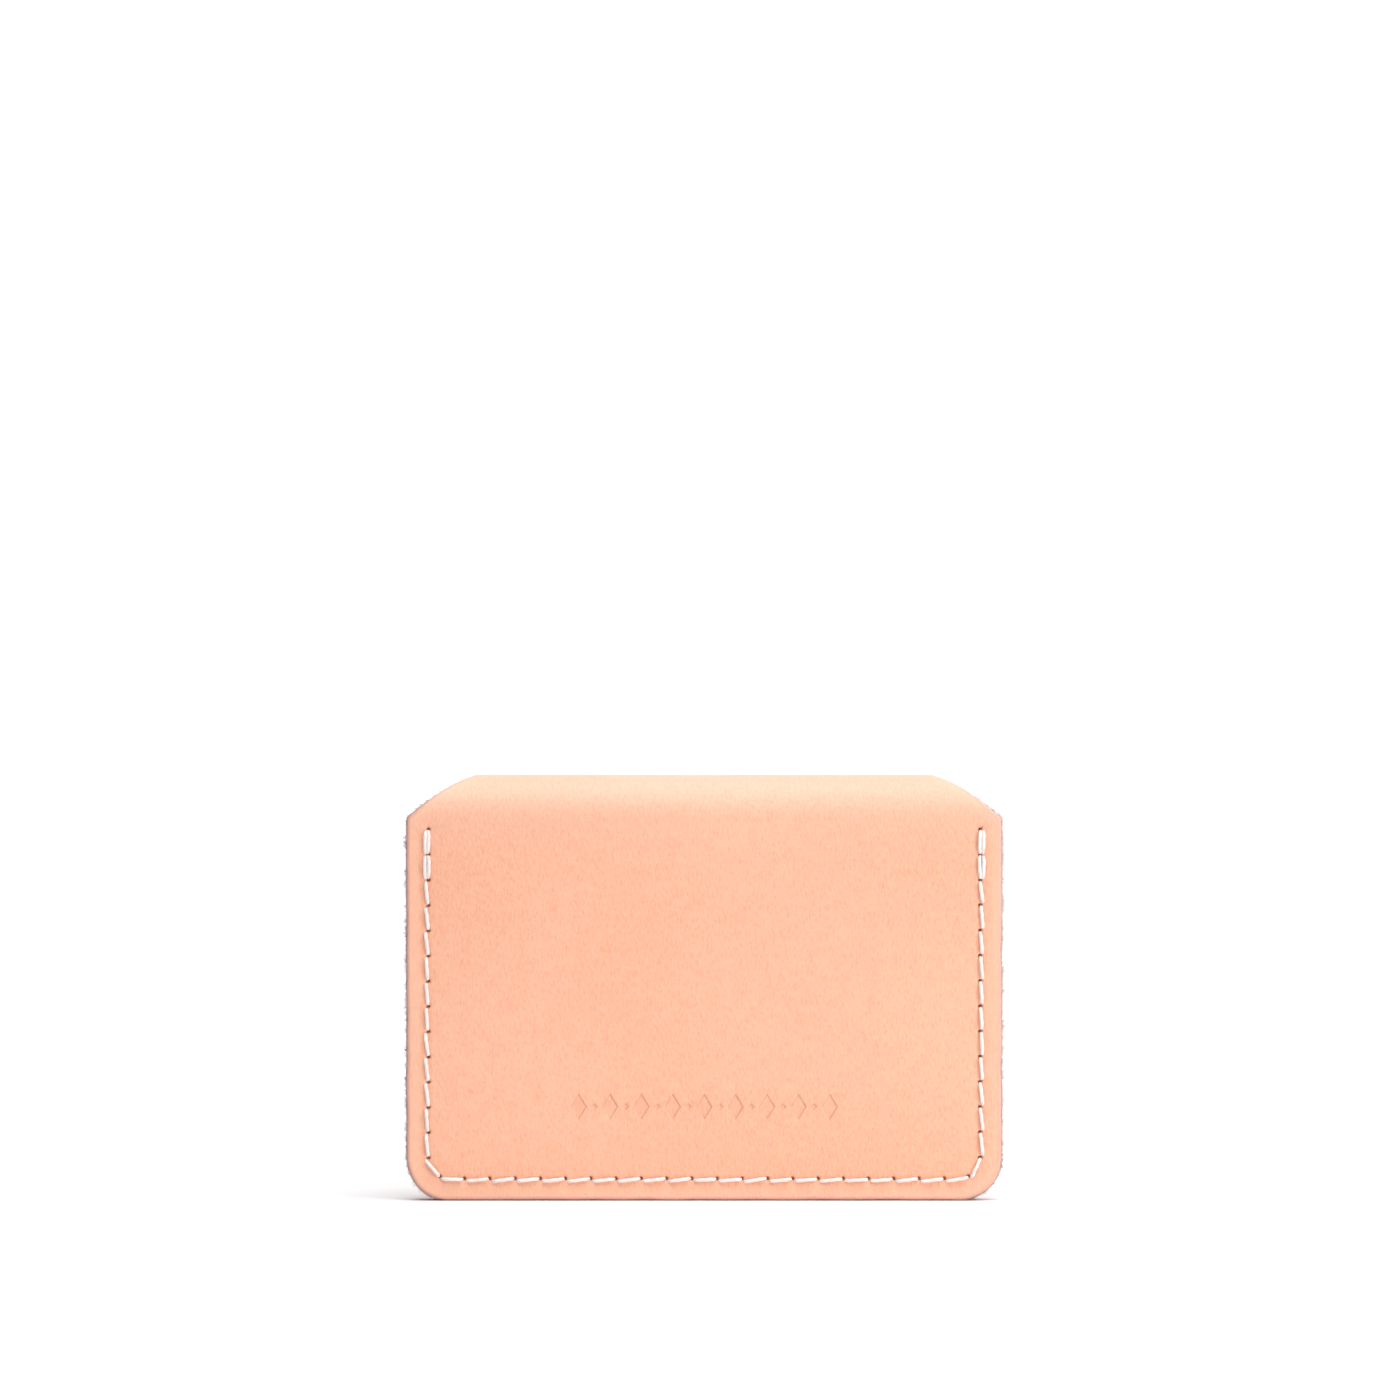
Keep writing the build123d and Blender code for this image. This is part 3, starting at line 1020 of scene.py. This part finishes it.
fold_angles = (60, 120)
section_cuts = [fold_z + fold_radius * math.radians(angle) for angle in fold_angles]
body_details = np.vstack([row_points(), ornament_points(), press_ring_points(snap_v, cap_radius)])
body_marks = [stitch_marks, ornament_marks, pressed_round(snap_v, cap_radius), uneven(2)]
body_data = sheet(body_outline(), bent, body_details, body_marks, section_cuts, seed=11)
body_sections = [
    ("body_back", ("holder", "fold_rear"), 30, ("back_panel",)),
    ("body_fold", ("fold_rear", "fold_front"), 90, ("fold_rear", "fold_front")),
    ("body_flap", ("fold_front", "flap"), 150, ("flap",)),
]


for number, (name, bodies, hinge, nodes) in enumerate(body_sections):
    piece = build_sheet(name, body_data, leather_materials, number)
    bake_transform(piece)
    stands_for(piece, "leather", *nodes)

# ---- the sewn panels


def sewn_panel(name, node, scoop, margin, crown, seed, details=None, marks=()):
    """A panel whose outer face is at margin on the seam and at crown over its pocket."""
    data = sheet(panel_outline(scoop), formed(margin, crown), details, marks, seed=seed)
    piece = build_sheet(name, data, leather_materials)
    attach(piece, "holder")
    stands_for(piece, "leather", node)


divider_face = divider_low.y + leather
sewn_panel("sewn_divider", "divider_panel", divider_scoop, divider_face, divider_high.y, 31)
front_details = np.vstack([row_points(), press_ring_points(snap_z, stud_radius)])
front_marks = [stitch_marks, pressed_round(snap_z, stud_radius), uneven(4)]
sewn_panel(
    "sewn_front", "front_panel", front_scoop, margin_face, front_face, 41, front_details, front_marks
)

# ---- the thread

strand_width = 1.06
strand_height = 0.84
strand_lobe = 0.14


def strand(start, end, face, outward, spread, generator):
    """One strand of twisted thread from hole to hole, as rings of vertices and their thread places.
    Spread is how far its middle bows sideways, towards the inside of the row."""
    run = end - start
    length = np.linalg.norm(run)
    along = np.array([run[0], 0, run[1]]) / length
    out = np.array([0, outward, 0.0])
    side = np.array([-run[1], 0, run[0]]) / length
    middle = np.array([(start[0] + end[0]) / 2, face, (start[1] + end[1]) / 2])
    crown = thread_radius * (0.5 + 0.12 * generator.normal())
    phase = generator.uniform(0, 2 * math.pi)
    sway = generator.normal() * 0.04 * MM
    turn = np.linspace(math.pi, 0, strand_rings)
    forward = length / 2 * np.sign(np.cos(turn)) * np.abs(np.cos(turn)) ** 0.5
    height = -thread_sink + (crown + thread_sink) * np.sin(turn) ** 0.55
    bow = spread * np.sin(turn) ** 1.4 + sway * np.sin(2 * turn)
    plump = 0.72 + 0.28 * np.sin(turn) ** 0.8
    slope = np.column_stack([np.gradient(forward), np.gradient(height)])
    slope /= np.linalg.norm(slope, axis=1)[:, None]
    vertices = []
    places = []
    for i in range(strand_rings):
        centre = middle + along * forward[i] + out * height[i] + side * bow[i]
        normal = -along * slope[i, 1] + out * slope[i, 0]
        for k in range(strand_sides):
            angle = 2 * math.pi * k / strand_sides
            twist = 2 * math.pi * forward[i] / thread_twist
            lobes = 1 + strand_lobe * math.cos(3 * angle - twist + phase)
            wide = thread_radius * strand_width * plump[i] * lobes * math.cos(angle)
            high = thread_radius * strand_height * plump[i] * lobes * math.sin(angle)
            vertices.append(centre + side * wide + normal * high)
            around = angle * thread_radius - forward[i] * 0.35
            places.append((forward[i] + start[0] * 31, around, start[1] * 17))
    return vertices, places


def stitch_strands(i, generator):
    """The strands of one stitch as (start, end, spread). A backtacked stitch has two, side by side."""
    if backtacked <= i < stitch_count - backtacked:
        wander = generator.normal(size=(2, 2)) * 0.04 * MM
        return [(stitch_starts[i] + wander[0], stitch_ends[i] + wander[1], 0)]
    strands = []
    for turn in (-1, 1):
        wander = generator.normal(size=(2, 2)) * 0.03 * MM
        start = holes[i] + hole_along[i] * end_tuck + hole_inward[i] * turn * backtack_side + wander[0]
        end = holes[i + 1] - hole_along[i + 1] * end_tuck + wander[1]
        end = end + hole_inward[i + 1] * turn * backtack_side
        strands.append((start, end, turn * backtack_bow))
    return strands


def thread_piece(name, face, outward, node, seed):
    """A whole row's thread, backtacked at both ends, as one object of closed strands."""
    generator = np.random.default_rng(seed)
    vertices = []
    places = []
    faces = []
    for i in range(stitch_count):
        for start, end, spread in stitch_strands(i, generator):
            faces += tube_faces(strand_rings, strand_sides, len(vertices))
            points, coordinates = strand(start, end, face, outward, spread, generator)
            vertices += points
            places += coordinates
    mesh = bpy.data.meshes.new(name)
    mesh.from_pydata([tuple(v) for v in vertices], [], faces)
    coordinates = mesh.attributes.new("sheet", "FLOAT_VECTOR", "POINT")
    coordinates.data.foreach_set("vector", np.array(places, np.float32).ravel())
    piece = finished(name, mesh, (thread,), sharp=80)
    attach(piece, "holder")
    stands_for(piece, "thread", node)


thread_piece("row_thread_back", back_face, -1, "bobbin_thread", 3)
thread_piece("row_thread_front", margin_face, 1, "needle_thread", 5)

# ---- the snap


def turned(name, node, body, profile, segments=72):
    """A brass piece turned about the snap's axis. Its profile is a list of (depth, radius, rounding)."""
    section = rounded(profile)
    angles = np.linspace(0, 2 * math.pi, segments, endpoint=False)
    vertices = [(r * math.sin(a), y, snap_z + r * math.cos(a)) for a in angles for y, r in section]
    mesh = bpy.data.meshes.new(name)
    mesh.from_pydata(vertices, [], tube_faces(segments, len(section), capped=False))
    piece = finished(name, mesh, (brass,), sharp=60, merge=True)
    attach(piece, body)
    stands_for(piece, "snap_brass", node)


def dome(radius, height, base, count=14):
    """Points of a soft dome from its rim to its middle, as (depth, radius, rounding)."""
    return [
        (base + height * math.sin(angle) ** 0.9, radius * math.cos(angle), 0)
        for angle in np.linspace(0, math.pi / 2, count)
    ]


sheet_metal = 0.4 * MM
cap_rim = flap_face + 0.5 * MM
flap_inner = flap_face - leather
clinch = flap_inner - sheet_metal
cap_barrel = 1.8 * MM
cap_clinched = 2.3 * MM
turned(
    "snap_cap_dome",
    "snap_cap",
    "flap",
    [
        *dome(cap_radius - 0.12 * MM, cap_high.y - cap_rim, cap_rim),
        (cap_rim, 0, 0),
        (clinch - sheet_metal, 0, 0),
        (clinch - sheet_metal, cap_clinched, 0.15 * MM),
        (clinch, cap_clinched, 0),
        (clinch, cap_barrel, 0),
        (flap_face, cap_barrel, 0),
        (flap_face - 0.05 * MM, cap_radius - 0.3 * MM, 0.1 * MM),
        (flap_face + 0.2 * MM, cap_radius, 0.12 * MM),
    ],
)

mouth = socket_low.y
mouth_lip = mouth + 0.32 * MM
socket_bore = 1.85 * MM
socket_mouth = 2.9 * MM
socket_cavity = 3.5 * MM
turned(
    "snap_socket_ring",
    "snap_socket",
    "flap",
    [
        (flap_inner, socket_bore, 0),
        (flap_inner, socket_radius, 0.15 * MM),
        (clinch, socket_radius, 0.15 * MM),
        (clinch - 0.1 * MM, 4.5 * MM, 0.3 * MM),
        (mouth, 4.15 * MM, 0.3 * MM),
        (mouth, socket_mouth, 0.12 * MM),
        (mouth_lip, socket_mouth, 0.12 * MM),
        (mouth_lip, socket_cavity, 0.12 * MM),
        (clinch, socket_cavity, 0.2 * MM),
        (clinch, socket_bore, 0),
    ],
)

stud_top = stud_high.y
stud_flange = front_face + sheet_metal
stud_recess = stud_top - 0.35 * MM
stud_neck = 2.0 * MM
stud_ball = 2.25 * MM
stud_bore = 1.35 * MM
recess_radius = 1.75 * MM
turned(
    "snap_stud_ball",
    "snap_stud",
    "holder",
    [
        (front_face, stud_bore, 0),
        (front_face, stud_radius, 0.12 * MM),
        (stud_flange, stud_radius, 0.15 * MM),
        (stud_flange, stud_neck, 0.25 * MM),
        (stud_top - 0.5 * MM, stud_neck, 0.15 * MM),
        (stud_top - 0.3 * MM, stud_ball, 0.15 * MM),
        (stud_top, 2.2 * MM, 0.25 * MM),
        (stud_top, recess_radius, 0.1 * MM),
        (stud_recess, recess_radius, 0),
        (stud_recess, stud_bore, 0),
    ],
)

eyelet_seat = front_face - leather
eyelet_top = eyelet_high.y
eyelet_roll = eyelet_top - 0.3 * MM
eyelet_bore = 0.8 * MM
eyelet_barrel = 1.3 * MM
eyelet_rolled = 1.7 * MM
turned(
    "snap_eyelet_tube",
    "snap_eyelet",
    "holder",
    [
        (eyelet_low.y, eyelet_bore, 0.12 * MM),
        (eyelet_low.y, eyelet_radius, 0.15 * MM),
        (eyelet_seat, eyelet_radius, 0.1 * MM),
        (eyelet_seat, eyelet_barrel, 0),
        (eyelet_roll, eyelet_barrel, 0),
        (eyelet_roll, eyelet_rolled, 0.1 * MM),
        (eyelet_top, eyelet_rolled, 0.12 * MM),
        (eyelet_top, eyelet_bore, 0.15 * MM),
    ],
)

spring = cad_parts["socket_spring"]
spring.data.materials.clear()
spring.data.materials.append(steel)

# ---- floor, light and camera

floor_reach = 4.0
floor_grey = (0.79, 0.79, 0.8, 1)
sky_tint = (0.95, 0.97, 1, 1)
left_light = 0.14
right_light = 0.37
seen_white = 1.1


def studio_world():
    """White to the camera, and dimmer as a light, so that the lamps shape the leather."""
    world = bpy.data.worlds.new("studio")
    bpy.context.scene.world = world
    world.use_nodes = True
    tree = world.node_tree
    background = tree.nodes["Background"]
    everywhere = new_node(tree, "TexCoord").outputs["Generated"]
    across = new_node(tree, "SeparateXYZ", Vector=everywhere).outputs["X"]
    seen = new_node(tree, "LightPath").outputs["Is Camera Ray"]
    light = step_node(tree, across, -1, 1, left_light, right_light)
    strength = step_node(tree, seen, 0, 1, light, seen_white)
    set_inputs(tree, background, Color=sky_tint, Strength=strength)


def aimed(name, data, place, target):
    """An object that looks from a place at a target."""
    thing = bpy.data.objects.new(name, data)
    thing.location = place
    thing.rotation_mode = "QUATERNION"
    thing.rotation_quaternion = (Vector(target) - Vector(place)).to_track_quat("-Z", "Y")
    bpy.context.scene.collection.objects.link(thing)
    return thing


def pale_floor():
    """A plain matt floor, much wider than the view."""
    mesh = bpy.data.meshes.new("floor")
    corners = [(x * floor_reach, y * floor_reach, 0) for x, y in ((-1, -1), (1, -1), (1, 1), (-1, 1))]
    mesh.from_pydata(corners, [], [(0, 1, 2, 3)])
    floor = bpy.data.objects.new("floor", mesh)
    bpy.context.scene.collection.objects.link(floor)
    material, tree, shader = new_material("floor_white")
    set_inputs(tree, shader, Base_Color=floor_grey, Roughness=0.9)
    mesh.materials.append(material)


def lamps():
    """Soft light from above and both sides, and two near lamps for the side and the lowest edge."""
    suns = [
        ("overhead", (0.12, -0.2, 1.0), 60, 3.45),
        ("key", (0.8, -1.0, 0.35), 40, 0.08),
        ("far_key", (0.5, 1.0, 0.5), 40, 1.0),
    ]
    for name, place, spread, power in suns:
        light = bpy.data.lights.new(name, "SUN")
        light.angle = math.radians(spread)
        light.energy = power
        aimed(name, light, place, (0, 0, 0))
    near_lamps = [
        ("side", (0.34, -0.2, 0.14), (0, 0, holder_height / 2), 0.14, 0.55),
        ("low", (0, -0.05, 0.004), (0, 0, 0.004), 0.12, 0.0035),
    ]
    for name, place, target, size, power in near_lamps:
        light = bpy.data.lights.new(name, "AREA")
        light.shape = "ELLIPSE"
        light.size = size
        light.size_y = min(size, 1.6 * place[2])
        light.energy = power
        aimed(name, light, place, target).visible_camera = False


view_width = 2.349 * 2 * half_width
view_aside = -0.007 * 2 * half_width
view_height = 1.178 * holder_height
camera_distance = 1.6
camera_elevation = math.radians(1)


def camera():
    """A long lens straight behind the holder and a little above it, which stands low in the frame."""
    look_at = Vector((view_aside, 0, view_height))
    data = bpy.data.cameras.new("camera")
    data.sensor_width = 36
    data.lens = data.sensor_width * camera_distance / view_width
    data.clip_end = 20
    back = Vector((0, -math.cos(camera_elevation), math.sin(camera_elevation)))
    bpy.context.scene.camera = aimed("camera", data, look_at + back * camera_distance, look_at)


pale_floor()
studio_world()
lamps()
camera()
bpy.context.scene.view_settings.view_transform = "Standard"
